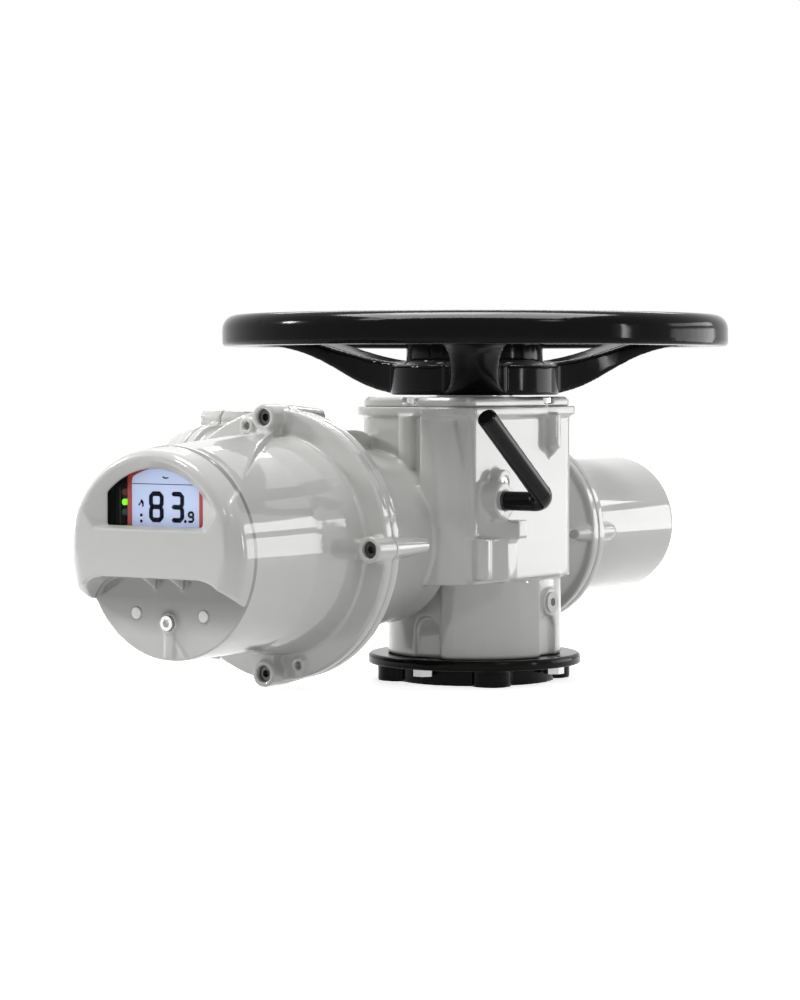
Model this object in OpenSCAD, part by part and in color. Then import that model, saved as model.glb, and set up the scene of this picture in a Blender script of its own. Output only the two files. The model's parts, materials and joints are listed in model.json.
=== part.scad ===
// Multi-turn electric valve actuator with a top handwheel, a side hand/auto lever, a motor at the
// rear, a display cover at the front and a terminal compartment on the left. The drive axis is +Z,
// the mounting face is at z = 0, and the display faces -Y.

/* [Mounting base] */
// Outer diameter of the mounting flange
flange_d = 175; // [165:1:190]
// Pitch circle of the mounting holes
flange_pcd = 140; // [136:1:144]
// Diameter of the tapped mounting holes
flange_hole_d = 14; // [12:0.5:16]
// Height of the mounting flange below the plate
flange_h = 15; // [13:1:18]
// Diameter of the base plate
plate_d = 190; // [186:1:200]
// Thickness of the base plate
plate_h = 9; // [8:1:12]
// Bore of the drive bush
stem_bore_d = 28; // [20:1:30]

/* [Gearcase] */
// Height of the worm shaft above the mounting face
worm_z = 130; // [128:1:134]
// Sideways distance from the drive axis to the worm shaft
worm_offset = 40; // [39:0.5:42]
// Half width of the upper gearcase
body_x = 66; // [65:1:70]
// Distance from the drive axis to the front wall
body_front = 105; // [102:1:108]
// Distance from the drive axis to the rear wall
body_rear = 68; // [66:1:72]
// Height at which the upper gearcase starts
waist_z = 92; // [90:1:94]
// Top of the gearcase casting
gearcase_top = 244; // [242:1:246]
// Thickness of the rim round the gearcase top
rim_h = 8; // [6:1:10]
// Thickness of the top cap
cap_h = 8.5; // [8:0.5:10]
// Wall of the gearcase
wall = 6; // [5:0.5:8]

/* [Display cover] */
// Plane where the display cover meets the gearcase
cover_joint = 236; // [232:1:242]
// Radius of the cover flange
cover_flange_r = 113; // [111:1:115]
// Radius of the cover drum
drum_r = 86; // [85:1:88]
// Distance from the joint to the lower face of the cover
drum_len = 149; // [142:1:154]
// How far the hood stands in front of the lower face
hood_len = 27; // [24:1:32]
// Radius of the circle of cover screws
cover_screw_r = 106.5; // [105:0.5:108]
// Wall of the cover
cover_wall = 5; // [4:0.5:6]

/* [Motor] */
// Plane where the motor cover meets the gearcase
motor_joint = 139; // [136:1:144]
// Length of the motor cover
motor_len = 186; // [178:1:192]
// Outer radius of the motor tube
motor_r = 64.5; // [64:0.5:67]
// How far the motor tube sits below the worm shaft
motor_drop = 4; // [3:0.5:4.5]
// Radius of the motor flange
motor_flange_r = 88; // [86:1:90]

/* [Terminal compartment] */
// Distance from the drive axis to the centre of the compartment, towards the display
term_y = 149; // [147:1:151]
// Plane where the terminal cover meets the gearcase
term_joint = 165; // [164:1:170]
// Half width of the compartment
term_w = 68; // [66:1:70]
// Half height of the compartment
term_h = 94; // [90:1:96]
// Depth of the terminal cover
term_cover_len = 34; // [30:1:40]

/* [Handwheel] */
// Outer diameter of the handwheel
wheel_d = 450; // [420:5:480]
// Radial width of the rim section
rim_w = 29; // [26:1:32]
// Height of the rim section
rim_section_h = 28; // [26:1:32]
// Height of the underside of the rim
rim_z = 297; // [292:1:304]
// Radius of the hub
hub_r = 75; // [72:1:78]
// Number of spokes
spokes = 3; // [3:1:5]
// Width of a spoke at its narrowest
spoke_w = 34; // [28:1:38]

/* [Hand and auto lever] */
// Distance of the lever shaft in front of the drive axis
lever_y = 80; // [78:1:82]
// Height of the lever shaft
lever_z = 164; // [162:1:166]
// Distance of the lever arm from the drive axis
lever_x = 125; // [120:1:130]
// Length of the lever arm
lever_len = 122; // [100:1:130]
// Rest angle of the lever arm above the horizontal
lever_rest = 37; // [30:1:42]
// Diameter over the lever grip
grip_d = 16.5; // [15:0.5:18]
// Swing of the lever from auto to hand
lever_swing = 45; // [40:1:50]

/* [Gears] */
// Gear module of the worm set
gear_m = 1.75; // [1.65:0.05:1.8]
// Teeth on the worm wheel
wheel_teeth = 31; // [29:1:31]
// Upward travel of the clutch ring
clutch_travel = 14; // [12:0.5:14]

/* [Hidden] */
$fn = 64;
eps = 0.01;
seat_gap = 0.3;      // clearance between pieces that sit beside each other
run_gap = 0.05;      // radial running clearance of shafts in bearings
view_az = 32.7;      // direction of the spoke that points at the viewer

// Frame of the worm shaft: x to the right, y up and z towards the display, starting at plane y
module worm_frame(y) {
    translate([-worm_offset, y, worm_z]) rotate([90, 0, 0]) children();
}

// Frame of the worm shaft with z towards the motor
module motor_frame(y) {
    translate([-worm_offset, y, worm_z]) rotate([-90, 0, 0]) children();
}

// Frame of the motor tube, which sits lower than the shaft
module can_frame(y) {
    translate([0, 0, -motor_drop]) motor_frame(y) children();
}

// Frame of the terminal compartment: x up, y towards the motor and z to the left
module term_frame(x) {
    translate([x, -term_y, worm_z]) rotate([0, -90, 0]) children();
}

// Frame of the lever shaft: z to the right, starting at plane x
module lever_frame(x) {
    translate([x, -lever_y, lever_z]) rotate([0, 90, 0]) children();
}

module ring(r_out, r_in, h) {
    difference() {
        cylinder(r = r_out, h = h);
        translate([0, 0, -1]) cylinder(r = r_in, h = h + 2);
    }
}

// Rectangle from (x0, y0) to (x1, y1) with its own radius at each corner, from lower left onwards
module round_rect(x0, y0, x1, y1, r) {
    polygon([[x0 + r[0], y0], [x1 - r[1], y0], [x1, y0 + r[1]], [x1, y1 - r[2]],
        [x1 - r[2], y1], [x0 + r[3], y1], [x0, y1 - r[3]], [x0, y0 + r[0]]]);
    translate([x0 + r[0], y0 + r[0]]) circle(r[0]);
    translate([x1 - r[1], y0 + r[1]]) circle(r[1]);
    translate([x1 - r[2], y1 - r[2]]) circle(r[2]);
    translate([x0 + r[3], y1 - r[3]]) circle(r[3]);
}

// Socket head cap screw along +z, its head's seat at z = 0 and its shank below
module cap_screw(d, shank) {
    head_r = 0.8 * d;
    difference() {
        cylinder(r = head_r, h = d);
        translate([0, 0, 0.45 * d]) cylinder(r = 0.43 * d, h = d, $fn = 6);
    }
    translate([0, 0, -shank]) cylinder(d = d, h = shank + eps);
}

// Hexagon head screw along +z, its seat at z = 0 and its shank below
module hex_screw(d, shank) {
    head_h = 0.6 * d;
    cylinder(d = 1.85 * d, h = head_h, $fn = 6);
    translate([0, 0, -shank]) cylinder(d = d, h = shank + eps);
}

function mid(a, b, t) = a + (b - a) * t;
function bezier(p, t) = let (
    a = mid(p[0], p[1], t), b = mid(p[1], p[2], t), c = mid(p[2], p[3], t),
    d = mid(a, b, t), e = mid(b, c, t)) mid(d, e, t);
function curve(p, steps) = [for (i = [0:steps]) bezier(p, i / steps)];

// Mounting base

base_screw_r = 83;          // the four screws that hold the base to the gearcase
base_screw_d = 10;
base_bore_r = 39;
plate_top = flange_h + plate_h;
lobe_r = flange_d / 2 - flange_pcd / 2;

module thrust_base() {
    edge = 3;
    color([0.05, 0.05, 0.055]) difference() {
        union() {
            rotate_extrude() round_rect(0, flange_h, plate_d / 2, plate_top, [0, 1, edge, 0]);
            cylinder(r = flange_pcd / 2 + 2, h = flange_h + eps);
            for (a = [45:90:315]) rotate(a) {
                translate([flange_pcd / 2, 0, 0]) cylinder(r = lobe_r, h = flange_h + eps);
            }
        }
        translate([0, 0, -1]) cylinder(r = base_bore_r, h = plate_top + 2);
        for (a = [45:90:315]) rotate(a) translate([flange_pcd / 2, 0, -1]) {
            cylinder(d = flange_hole_d, h = plate_top + 2);
        }
        for (a = [0:90:270]) rotate(a) translate([base_screw_r, 0, 0]) {
            cylinder(d = base_screw_d, h = plate_top + 1);
        }
    }
}

module base_screws() {
    color([0.78, 0.78, 0.8]) for (a = [0:90:270]) rotate(a) {
        translate([base_screw_r, 0, flange_h]) rotate([180, 0, 30]) hex_screw(base_screw_d, plate_h - 0.5);
    }
}

// Gearcase

corner_r = 42;              // the large rounded corner beside the lever
corner_front = body_front + 20;
lower_r = 77.4;
pad_r = 82;
cavity_r = 60;
bearing_bore_r = 52;        // seat of the lower bearing
neck_rear_r = 76;
neck_front_r = 95;
bulkhead_y = 118;
tunnel_r = 22;              // bore for the worm shaft and its bearings
worm_bearing_y = 62;
worm_bearing_w = 14;
cap_screw_d = 8;
cap_screws_at = [[0, -98], [60, 20], [-60, 20], [0, 61]];
lever_boss_r = 16;
lever_boss_end = 83;
lever_bore_r = 8;
cap_bore_r = 40;
cap_bearing_z = 205;        // seat of the upper bearing
cap_bearing_h = 16;
oil_plug_z = 72;

module body_plan(grow = 0) {
    x = body_x + grow;
    round_rect(-x, -body_front - grow, x, body_rear + grow, [38, 5, 18, 30]);
    intersection() {
        translate([x - corner_r, -corner_front - grow + corner_r]) circle(corner_r);
        translate([x - corner_r, -corner_front - grow]) square([corner_r, corner_r]);
    }
    translate([x - corner_r, -corner_front - grow + corner_r]) square([corner_r, corner_r]);
}

module cap_screw_bosses() {
    boss_r = 8.5;
    length = [44, 28, 28, 28];
    for (i = [0:3]) {
        outward = i == 0 ? [0, -8] : i == 3 ? [0, 8] : [sign(cap_screws_at[i][0]) * 8, 0];
        at = cap_screws_at[i] + outward;
        translate([at[0], at[1], gearcase_top - rim_h - length[i]]) rotate_extrude() {
            polygon([[0, -boss_r], [1, -boss_r], [boss_r, 0], [boss_r, length[i] + 1], [0, length[i] + 1]]);
        }
    }
}

module lower_body() {
    pad_from = 12;
    pad_to = 78;
    pocket_h = 37;
    pocket_w = 26;
    pocket_r = 72;
    difference() {
        union() {
            translate([0, 0, plate_top]) cylinder(r = lower_r, h = waist_z - plate_top + 1);
            for (turn = [0, 180]) rotate(turn) intersection() {
                translate([0, 0, plate_top]) cylinder(r = pad_r, h = waist_z - plate_top + 1);
                translate([0, 0, plate_top]) linear_extrude(waist_z - plate_top + 1) {
                    polygon([[0, 0], [sin(pad_from), -cos(pad_from)] * 2 * pad_r,
                        [sin(pad_to), -cos(pad_to)] * 2 * pad_r]);
                }
            }
        }
        for (a = [0:90:270]) rotate(a) {
            translate([pocket_r, -pocket_w / 2, plate_top - 1]) cube([20, pocket_w, pocket_h - 12]);
            translate([pocket_r, 0, plate_top + pocket_h - pocket_w / 2]) rotate([0, 90, 0]) {
                cylinder(d = pocket_w, h = 20);
            }
        }
    }
}

module electrical_neck() {
    flange_t = 10;
    lug_len = 55;
    shoulder = cover_joint - flange_t - 22;
    worm_frame(0) rotate_extrude() polygon(concat([[0, body_front - 15], [neck_rear_r, body_front - 15],
        [neck_rear_r, body_front + 2]],
        curve([[neck_rear_r, body_front + 6], [neck_rear_r + 3, body_front + 40],
            [neck_front_r - 6, shoulder - 30], [neck_front_r, shoulder]], 8),
        curve([[neck_front_r + 1, shoulder + 6], [neck_front_r + 4, shoulder + 14],
            [cover_flange_r - 6, shoulder + 20], [cover_flange_r - 0.5, shoulder + 22]], 6),
        [[cover_flange_r, cover_joint - flange_t], [cover_flange_r, cover_joint], [0, cover_joint]]));
    for (a = [0:90:270]) worm_frame(-cover_joint + lug_len) rotate(a) {
        translate([cover_screw_r, 0, 0]) cylinder(r1 = 6.5, r2 = 11, h = lug_len);
        translate([neck_front_r - 16, -6, 12]) cube([cover_screw_r - neck_front_r + 16, 12, lug_len - 12]);
    }
}

module terminal_housing() {
    flange_t = 9;
    lug_len = 60;
    term_frame(-worm_offset) linear_extrude(term_joint - worm_offset) {
        round_rect(-term_h, -term_w, term_h, term_w, [45, 45, 45, 45]);
    }
    term_frame(-term_joint + flange_t) linear_extrude(flange_t) {
        round_rect(-term_h - 4, -term_w - 4, term_h + 4, term_w + 4, [48, 48, 48, 48]);
    }
    for (p = term_lugs) term_frame(-term_joint + lug_len) translate(p) {
        cylinder(r1 = 6, r2 = term_lug_r, h = lug_len);
    }
    for (e = conduits) translate([e[0], e[1], worm_z - term_h - conduit_boss]) {
        cylinder(r = e[2] + 5, h = 24);
    }
}

module motor_neck() {
    flange_t = 10;
    lug_len = 30;
    can_frame(body_rear - 14) {
        cylinder(r1 = 50, r2 = motor_flange_r - 8, h = motor_joint - body_rear + 14 - flange_t + eps);
    }
    can_frame(motor_joint - flange_t) cylinder(r = motor_flange_r, h = flange_t);
    for (a = [0:90:270]) can_frame(motor_joint - lug_len) rotate(a) {
        translate([motor_screw_r, 0, 0]) cylinder(r1 = 5, r2 = 9, h = lug_len);
    }
}

// Support of the lever shaft: the boss, the slanted shelf below it and the pedestal under the shelf
module lever_mount() {
    boss_in = body_x - 12;
    shelf_top = lever_z - 17;
    shelf_low = lever_z - 33;
    foot_z = waist_z + 4;
    lever_frame(boss_in) cylinder(r = lever_boss_r, h = lever_boss_end - boss_in);
    translate([0, 0, shelf_low]) linear_extrude(shelf_top - shelf_low) {
        polygon([[56, -lever_y - 29], [90, -lever_y + 11], [90, -lever_y + 25], [50, -lever_y + 25]]);
    }
    translate([0, 0, shelf_top - 1]) linear_extrude(lever_z + 3 - shelf_top) {
        polygon([[53, -lever_y - 31], [72, -lever_y - 12], [72, -lever_y + 8], [50, -lever_y + 8]]);
    }
    translate([0, 0, foot_z]) linear_extrude(shelf_low + 1 - foot_z) {
        polygon([[57.5, -lever_y - 28], [65, -lever_y - 25], [75.8, -lever_y - 11.5], [83, -lever_y + 4],
            [83, -lever_y + 20], [50, -lever_y + 20]]);
        translate([69, -lever_y - 17]) circle(8.5);
    }
    padlock_boss() cylinder(r = 11.5, h = 20);
}

module padlock_boss() {
    translate([body_x - 10, -lever_y + 11, lever_z + 15]) rotate([0, 90, 0]) children();
}

module oil_boss(start) {
    translate([start, 0, oil_plug_z]) rotate([0, 90, 0]) children();
}

module gearcase_hollows() {
    shelf = 12;
    // gear chamber, bearing seats and the bore for the lever shaft
    translate([0, 0, bearing_top]) cylinder(r = cavity_r, h = cap_bearing_z - bearing_top - 1);
    translate([0, 0, cap_bearing_z - 2]) cylinder(r = cavity_r - 8, h = gearcase_top - cap_bearing_z + 3);
    translate([0, 0, plate_top - 1]) cylinder(r = bearing_bore_r, h = bearing_top - plate_top + 2);
    lever_frame(0) cylinder(r = lever_rod_r + run_gap, h = lever_boss_end + 1);
    lever_frame(lever_boss_end - 7) cylinder(r = lever_bore_r, h = 8);
    translate([-24, -lever_y - 13, lever_z - 28]) cube([48, lever_y - 11, 58]);
    // worm tunnel from the electrical compartment to the motor
    worm_frame(motor_joint - 40) cylinder(r = tunnel_r, h = motor_joint - 40 + worm_bearing_y + worm_bearing_w + 8);
    worm_frame(0) cylinder(r = 12, h = cover_joint);
    motor_frame(worm_bearing_y + worm_bearing_w + 4) {
        cylinder(r1 = 30, r2 = can_r - 2, h = motor_joint - worm_bearing_y - worm_bearing_w - 4 + eps);
    }
    motor_frame(motor_joint - seal_depth) ring(seal_out, seal_in, seal_depth + 1);
    // electrical compartment
    worm_frame(-bulkhead_y) {
        cylinder(r1 = neck_rear_r - shelf, r2 = neck_front_r - 6, h = cover_joint - bulkhead_y - 14);
        translate([0, 0, 60]) cylinder(r = drum_r - cover_wall, h = cover_joint - bulkhead_y - 59);
    }
    // terminal compartment
    term_frame(-term_floor) linear_extrude(term_joint - term_floor + 1) {
        round_rect(-term_h + 9, -term_w + 9, term_h - 9, term_w - 9, [38, 38, 38, 38]);
    }
    for (e = conduits) translate([e[0], e[1], worm_z - term_h - conduit_boss - 1]) {
        cylinder(r = e[2] + run_gap, h = 34);
    }
    // screw holes
    for (a = [0:90:270]) {
        worm_frame(-cover_joint + 20) rotate(a) translate([cover_screw_r, 0, 0]) cylinder(d = 8, h = 21);
        can_frame(motor_joint - 18) rotate(a) translate([motor_screw_r, 0, 0]) cylinder(d = 8, h = 19);
    }
    for (p = cap_screws_at) translate([p[0], p[1], gearcase_top - 22]) cylinder(d = cap_screw_d, h = 23);
    for (p = term_lugs) term_frame(-term_joint + 20) translate(p) cylinder(d = 8, h = 21);
    oil_boss(cavity_r - 20) cylinder(r = 7, h = 60);
    padlock_boss() translate([0, 0, 12]) cylinder(r = 5, h = 20);
    translate([earth_at[0], earth_at[1], earth_at[2]]) cylinder(d = 6, h = 14);
}

module gearcase() {
    color([0.74, 0.74, 0.73]) difference() {
        union() {
            translate([0, 0, waist_z]) linear_extrude(gearcase_top - rim_h - waist_z) body_plan();
            translate([0, 0, gearcase_top - rim_h - eps]) linear_extrude(rim_h + eps) body_plan(3.5);
            cap_screw_bosses();
            lower_body();
            electrical_neck();
            terminal_housing();
            motor_neck();
            motor_frame(-worm_bearing_y - 40) cylinder(r = tunnel_r + 16, h = worm_bearing_y + body_rear + 40);
            lever_mount();
            oil_boss(lower_r - 8) cylinder(r = 12, h = 11);
            translate([earth_at[0], earth_at[1], earth_at[2]]) cylinder(r = 9, h = 18);
        }
        gearcase_hollows();
    }
}

// Top cap

module top_cap() {
    z = gearcase_top;
    spigot = 5;
    color([0.76, 0.76, 0.75]) difference() {
        union() {
            translate([0, 0, z]) linear_extrude(cap_h - 2) body_plan(-0.5);
            translate([0, 0, z + cap_h - 2 - eps]) linear_extrude(2) body_plan(-2.5);
            translate([0, 0, z - spigot]) cylinder(r = cavity_r - 8 - seat_gap, h = spigot + eps);
        }
        translate([0, 0, z - spigot - 1]) cylinder(r = cap_bore_r, h = cap_h + spigot + 2);
        for (p = cap_screws_at) translate([p[0], p[1], z]) {
            cylinder(d = cap_screw_d + 1, h = cap_h + 1);
            translate([0, 0, 3]) cylinder(r = 8, h = cap_h);
            outward = p[0] == 0 ? [0, sign(p[1])] : [sign(p[0]), 0];
            translate([outward[0] * 8, outward[1] * 8, 3 + cap_h / 2]) cube([16, 16, cap_h], center = true);
        }
    }
}

module cap_screws() {
    color([0.7, 0.7, 0.72]) for (p = cap_screws_at) translate([p[0], p[1], gearcase_top + 3]) {
        cylinder(r = 6.5, h = cap_h - 4);
        translate([0, 0, -20]) cylinder(d = cap_screw_d, h = 20 + eps);
    }
}

module hub_seal() {
    color([0.1, 0.1, 0.1]) translate([0, 0, gearcase_top - 3]) ring(cap_bore_r - run_gap, hub_sleeve_r + 0.1, 9);
}

// Motor

motor_screw_r = 79;
can_r = motor_r - motor_drop - 4.5;     // inside of the tube, round the shaft
seal_out = can_r + 6;       // groove for the ring between the motor cover and the gearcase
seal_in = can_r + 2;
seal_depth = 3;
stator_y = 165;             // where the stator starts
stator_len = 105;
stator_r = can_r - 0.3;
rotor_r = 31;
end_bearing_y = motor_joint + motor_len - 22;

module motor_cover() {
    flange_t = 10;
    lug_len = 44;
    round_end = 4;
    color([0.74, 0.74, 0.73]) difference() {
        can_frame(motor_joint) {
            rotate_extrude() round_rect(0, 0, motor_r, motor_len, [0, 0, round_end, 0]);
            cylinder(r = motor_flange_r, h = flange_t);
            translate([0, 0, flange_t - eps]) cylinder(r1 = motor_r + 8, r2 = motor_r - 1, h = 12);
            for (a = [0:90:270]) rotate(a) translate([motor_screw_r, 0, 0]) {
                cylinder(r = 9, h = 30);
                translate([0, 0, 30 - eps]) cylinder(r1 = 9, r2 = 4, h = lug_len - 30);
                translate([-20, -5, flange_t - 1]) cube([20, 10, 24]);
            }
        }
        motor_frame(motor_joint - 1) cylinder(r = can_r, h = motor_len - 13);
        motor_frame(motor_joint + motor_len - 15) cylinder(r = 14, h = 9);
        can_frame(motor_joint) for (a = [0:90:270]) rotate(a) translate([motor_screw_r, 0, -1]) {
            cylinder(d = 9, h = 24);
            translate([0, 0, 19]) cylinder(r = 7, h = lug_len);
        }
    }
}

module motor_cover_screws() {
    color([0.7, 0.7, 0.72]) for (a = [0:90:270]) can_frame(motor_joint + 18) rotate(a) {
        translate([motor_screw_r, 0, 0]) cap_screw(8, 32);
    }
}

module motor_seal() {
    color([0.1, 0.1, 0.1]) motor_frame(motor_joint - seal_depth) {
        ring(seal_out - run_gap, seal_in + run_gap, seal_depth - run_gap);
    }
}

module motor_stator() {
    slots = 24;
    color([0.45, 0.45, 0.47]) motor_frame(stator_y) difference() {
        ring(stator_r, rotor_r + 0.5, stator_len);
        for (i = [0:slots - 1]) rotate(i * 360 / slots) {
            translate([rotor_r + 2, -1.2, -1]) cube([14, 2.4, stator_len + 2]);
        }
    }
}

module stator_windings() {
    color([0.72, 0.42, 0.2]) for (y = [stator_y - 14, stator_y + stator_len + seat_gap]) {
        motor_frame(y) ring(stator_r - 6, rotor_r + 4, 14 - seat_gap);
    }
}

module motor_end_bearing() {
    color([0.7, 0.7, 0.72]) motor_frame(motor_joint + motor_len - 15) ring(14 - run_gap, 8 + run_gap, 8.5);
}

// Display cover, drawn in the frame of the worm shaft with z towards the viewer

front = drum_len + hood_len;        // front of the hood
hood_r = 82.5;              // radius of the hood's lip at the front
hood_rise = 0.085;          // how fast the back of the hood rises towards the flange
band_round = 16;            // rounding of the band's ends
window_r = 67.5;            // round part of the window
window_w = 48;              // half width of the window
window_base = 22.5;         // lower edge of the window above the shaft
bezel_r = 75.5;
bezel_w = 57;
bezel_base = 19.5;
band_low = -18.5;           // lower edge of the hood's band
shoulder_y = 36;            // height at which the crease of the hood reaches the front
hook_y = -43;               // height at which the band's lower edge meets the lower face
glass_t = 5;
glass_z = front - 14;
face_plug_y = -55.5;
cover_seat_z = 14;          // seat of the cover screws above the joint
face_caps_at = [[-34, -49], [34, -49]];

module window_shape(r, w, base) {
    intersection() {
        circle(r);
        translate([-w, base]) square([2 * w, r]);
    }
}

// Opening of the hood: from the window's edge at the glass it widens to the bezel at the front
module bezel_cut() {
    side = [[bezel_w, bezel_base], [68.5, 34], [80, 42], [80, 90]];
    hull() {
        translate([0, 0, glass_z + glass_t + 1.7]) linear_extrude(0.1) {
            window_shape(window_r, window_w, window_base);
        }
        translate([0, 0, front]) linear_extrude(0.1) intersection() {
            circle(bezel_r);
            polygon(concat(side, [for (i = [3:-1:0]) [-side[i][0], side[i][1]]]));
        }
    }
}

// Crease on each side of the hood's back, from the top screw (near the joint) to the front
crease = concat([[8, 20]], curve([[23.5, 55], [46, 104], [70, 140], [76.5, front + 2]], 12));

module crease_prism(low) {
    last = len(crease) - 1;
    translate([0, low, 0]) rotate([-90, 0, 0]) linear_extrude(110 - low) {
        polygon(concat([for (p = crease) [p[0], -p[1]]],
            [for (i = [last:-1:0]) [-crease[i][0], -crease[i][1]]]));
    }
}

// Arch under the band, seen from the front
module band_arch() {
    half = curve([[48, band_low], [62, band_low - 1], [71, band_low - 7], [78, hook_y]], 8);
    polygon(concat([for (p = half) [-p[0], p[1]]], [[-92, hook_y - 1], [-92, -92], [92, -92], [92, hook_y - 1]],
        [for (i = [len(half) - 1:-1:0]) half[i]]));
}

// Band below the window: the drum carried forward, with an arch below and shoulders beside the hood
module band() {
    foot = drum_len - 20;
    difference() {
        rotate_extrude() round_rect(0, foot, drum_r, front, [0, 0, band_round, 0]);
        translate([0, 0, drum_len]) linear_extrude(hood_len + 1) band_arch();
        // the band's lower ends rise towards the front
        rotate([0, -90, 0]) translate([0, 0, -100]) linear_extrude(200) {
            polygon([[drum_len, -100], [drum_len, hook_y], [front + 2, hook_y + 19], [front + 2, -100]]);
        }
        intersection() {
            crease_prism(shoulder_y);
            translate([-100, 0, drum_len - 15]) cube([200, 100, hood_len + 20]);
        }
    }
}

// Back of the hood, which rises and narrows from the lip at the front to the top screw
module hood_back() {
    rear = 20;
    rear_r = hood_r + hood_rise * (front - rear);
    intersection() {
        rotate_extrude() polygon(concat([[0, rear], [rear_r, rear]],
            curve([[hood_r + 0.8, front - 9], [hood_r + 0.2, front - 3], [hood_r - 2, front], [hood_r - 8, front]], 8),
            [[0, front]]));
        crease_prism(0);
    }
}

module hood_gussets() {
    for (s = [-1, 1]) translate([s * 14, band_low + 1, drum_len - eps]) {
        rotate([90, 0, 90]) translate([0, 0, -1.5]) linear_extrude(3) polygon([[0, 0], [0, hood_len - 6], [-12, 0]]);
    }
}

module cover_flange() {
    flange_t = 10;
    lug_h = cover_seat_z + 12;
    cylinder(r = cover_flange_r, h = flange_t);
    for (a = [0:90:270]) rotate(a) {
        translate([cover_screw_r, 0, 0]) cylinder(r = 11, h = lug_h);
        translate([drum_r - 6, -7, 0]) cube([cover_screw_r - drum_r + 4, 14, lug_h - 4]);
    }
    for (a = [105, 285]) rotate(a) translate([cover_screw_r - 4, 0, 0]) cylinder(r = 7, h = 14);
}

// Straight skirt, which widens towards the flange
module drum() {
    rotate_extrude() polygon([[0, 0], [drum_r + 7, 0], [drum_r + 0.5, 60], [drum_r, 66], [drum_r, drum_len - 1],
        [drum_r - 1, drum_len], [0, drum_len]]);
}

module display_cover() {
    inner_r = drum_r - cover_wall;
    front_wall = 6;
    color([0.76, 0.76, 0.75]) worm_frame(-cover_joint) difference() {
        union() {
            cover_flange();
            drum();
            hood_back();
            band();
            hood_gussets();
            translate([0, face_plug_y, drum_len - 1]) cylinder(r = 8.5, h = 4);
            translate([-4.5, -drum_r + 3, drum_len - 1]) cube([9, drum_r + face_plug_y - 6, 2.6]);
            translate([5, -70, drum_len - 1]) rotate(-52) cube([18, 1.6, 2]);
        }
        translate([0, 0, -1]) cylinder(r = inner_r, h = drum_len - front_wall + 1);
        bezel_cut();
        translate([0, 0, drum_len]) linear_extrude(glass_z + glass_t + 2 - drum_len) {
            window_shape(window_r, window_w, window_base);
        }
        translate([0, 0, drum_len - front_wall - 1]) linear_extrude(glass_z - drum_len + front_wall + 1 + glass_t) {
            window_shape(window_r + 6, window_w + 6, window_base - 6);
        }
        for (a = [0:90:270]) rotate(a) translate([cover_screw_r, 0, -1]) {
            cylinder(d = 9, h = 30);
            translate([0, 0, cover_seat_z + 1]) cylinder(r = 7, h = 20);
        }
        for (a = [105, 285]) rotate(a) translate([cover_screw_r - 4, 0, 6]) cylinder(r = 3.5, h = 20);
        translate([0, face_plug_y, drum_len - 3]) cylinder(r = 6, h = 20);
        for (p = face_caps_at) translate([p[0], p[1], drum_len - 3]) cylinder(r = 4.6, h = 10);
    }
}

module display_cover_screws() {
    color([0.72, 0.72, 0.74]) for (a = [0:90:270]) worm_frame(-cover_joint - cover_seat_z) rotate(a) {
        translate([cover_screw_r, 0, 0]) cap_screw(8, cover_seat_z + 14);
    }
}

module display_seal() {
    color([0.1, 0.1, 0.1]) worm_frame(-cover_joint + 4) ring(drum_r - cover_wall - run_gap, drum_r - cover_wall - 5, 8);
}

module window_glass() {
    color([0.8, 0.9, 1, 0.3]) worm_frame(-cover_joint) translate([0, 0, glass_z]) linear_extrude(glass_t) {
        window_shape(window_r + 5.7, window_w + 5.7, window_base - 5.7);
    }
}

lcd_z = glass_z - 9;
lcd_x = [-33, 35.5];         // left and right edges of the lit panel
lcd_top = 67;

module lcd_shape(grow) {
    intersection() {
        circle(window_r + 1 + grow);
        round_rect(lcd_x[0] - grow, window_base - 2 - grow, lcd_x[1] + grow, lcd_top + grow, [2, 2, 2, 12]);
    }
}

module lcd_panel() {
    color([0.72, 0.8, 0.95]) worm_frame(-cover_joint) translate([0, 0, lcd_z]) linear_extrude(2) lcd_shape(0);
}

module lcd_frame() {
    color([0.7, 0.12, 0.08]) worm_frame(-cover_joint) translate([0, 0, lcd_z - 3]) linear_extrude(6) difference() {
        lcd_shape(3.6);
        lcd_shape(0.2);
    }
}

module status_lamps() {
    color([0.3, 0.8, 0.1]) worm_frame(-cover_joint) for (y = [48, 40, 32]) {
        translate([-42, y, lcd_z - 3]) cylinder(r = 2.6, h = 3.5);
    }
}

module display_board() {
    color([0.03, 0.03, 0.035]) worm_frame(-cover_joint) translate([0, 0, lcd_z - 5]) linear_extrude(2) {
        window_shape(window_r + 5.7, window_w + 5.7, window_base - 5.7);
    }
}

module face_plug() {
    color([0.85, 0.85, 0.86]) worm_frame(-cover_joint - drum_len + 3) translate([0, face_plug_y, 0]) difference() {
        cylinder(r = 6 - run_gap, h = 8);
        translate([0, 0, 4]) cylinder(r = 3.6, h = 10, $fn = 6);
    }
}

module face_caps() {
    color([0.93, 0.93, 0.93]) for (p = face_caps_at) {
        worm_frame(-cover_joint - drum_len + 3) translate([p[0], p[1], 0]) cylinder(r = 4.6 - run_gap, h = 4);
    }
}

// Electronics

module main_board() {
    color([0.1, 0.35, 0.2]) worm_frame(-cover_joint + 40) translate([0, 0, 0]) {
        cylinder(r = 76, h = 2);
        post = cover_joint - 40 - bulkhead_y;
        for (a = [45:90:315]) rotate(a) translate([56, 0, -post]) cylinder(r = 4, h = post + eps);
    }
}

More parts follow.
